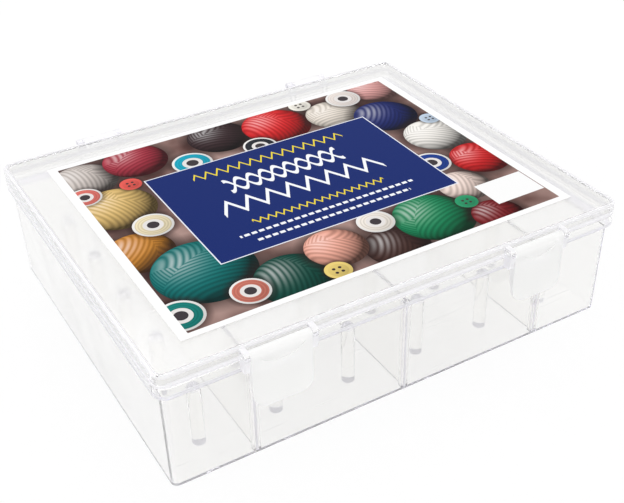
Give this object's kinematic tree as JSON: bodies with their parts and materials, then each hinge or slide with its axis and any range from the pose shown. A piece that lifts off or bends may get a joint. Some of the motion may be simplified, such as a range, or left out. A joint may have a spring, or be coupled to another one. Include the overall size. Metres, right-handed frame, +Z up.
{
  "type": "embroidery thread box",
  "caption": "Clear plastic thread box with a hinged lid, two snap latches, lift-out dividers and rows of spool pegs on the floor.",
  "frame": {"origin": "centre of the tray's underside, on the surface it stands on", "axes": "+X along the front to the right as seen from the latch side, -Y is the front with the latches, +Z up"},
  "size_m": [0.34, 0.2978, 0.0903],
  "materials": {
    "clear_plastic": "clear polystyrene, moulded, glossy",
    "latch_plastic": "clear polypropylene, slightly milky",
    "label_paper": "printed paper with a gloss varnish and a white border"
  },
  "bodies": {
    "base": {"base_tray": "clear_plastic", "divider_1": "clear_plastic", "divider_2": "clear_plastic", "divider_3": "clear_plastic", "spool_pegs_column_1": "clear_plastic", "spool_pegs_column_2": "clear_plastic", "spool_pegs_column_3": "clear_plastic", "spool_pegs_column_4": "clear_plastic", "spool_pegs_column_5": "clear_plastic", "spool_pegs_column_6": "clear_plastic"},
    "lid": {"lid": "clear_plastic", "lid_label": "label_paper"},
    "latch_left": {"latch_left": "latch_plastic"},
    "latch_right": {"latch_right": "latch_plastic"}
  },
  "joints": [
    {"name": "lid_hinge", "type": "hinge", "parent": "base", "child": "lid", "pos_m": [0, 0.146, 0.0866], "axis": [-1, 0, 0], "range_deg": [0, 180]},
    {"name": "latch_left_hinge", "type": "hinge", "parent": "lid", "child": "latch_left", "pos_m": [-0.095, -0.144, 0.0858], "axis": [-1, 0, 0], "range_deg": [0, 105]},
    {"name": "latch_right_hinge", "type": "hinge", "parent": "lid", "child": "latch_right", "pos_m": [0.095, -0.144, 0.0858], "axis": [-1, 0, 0], "range_deg": [0, 105]}
  ]
}
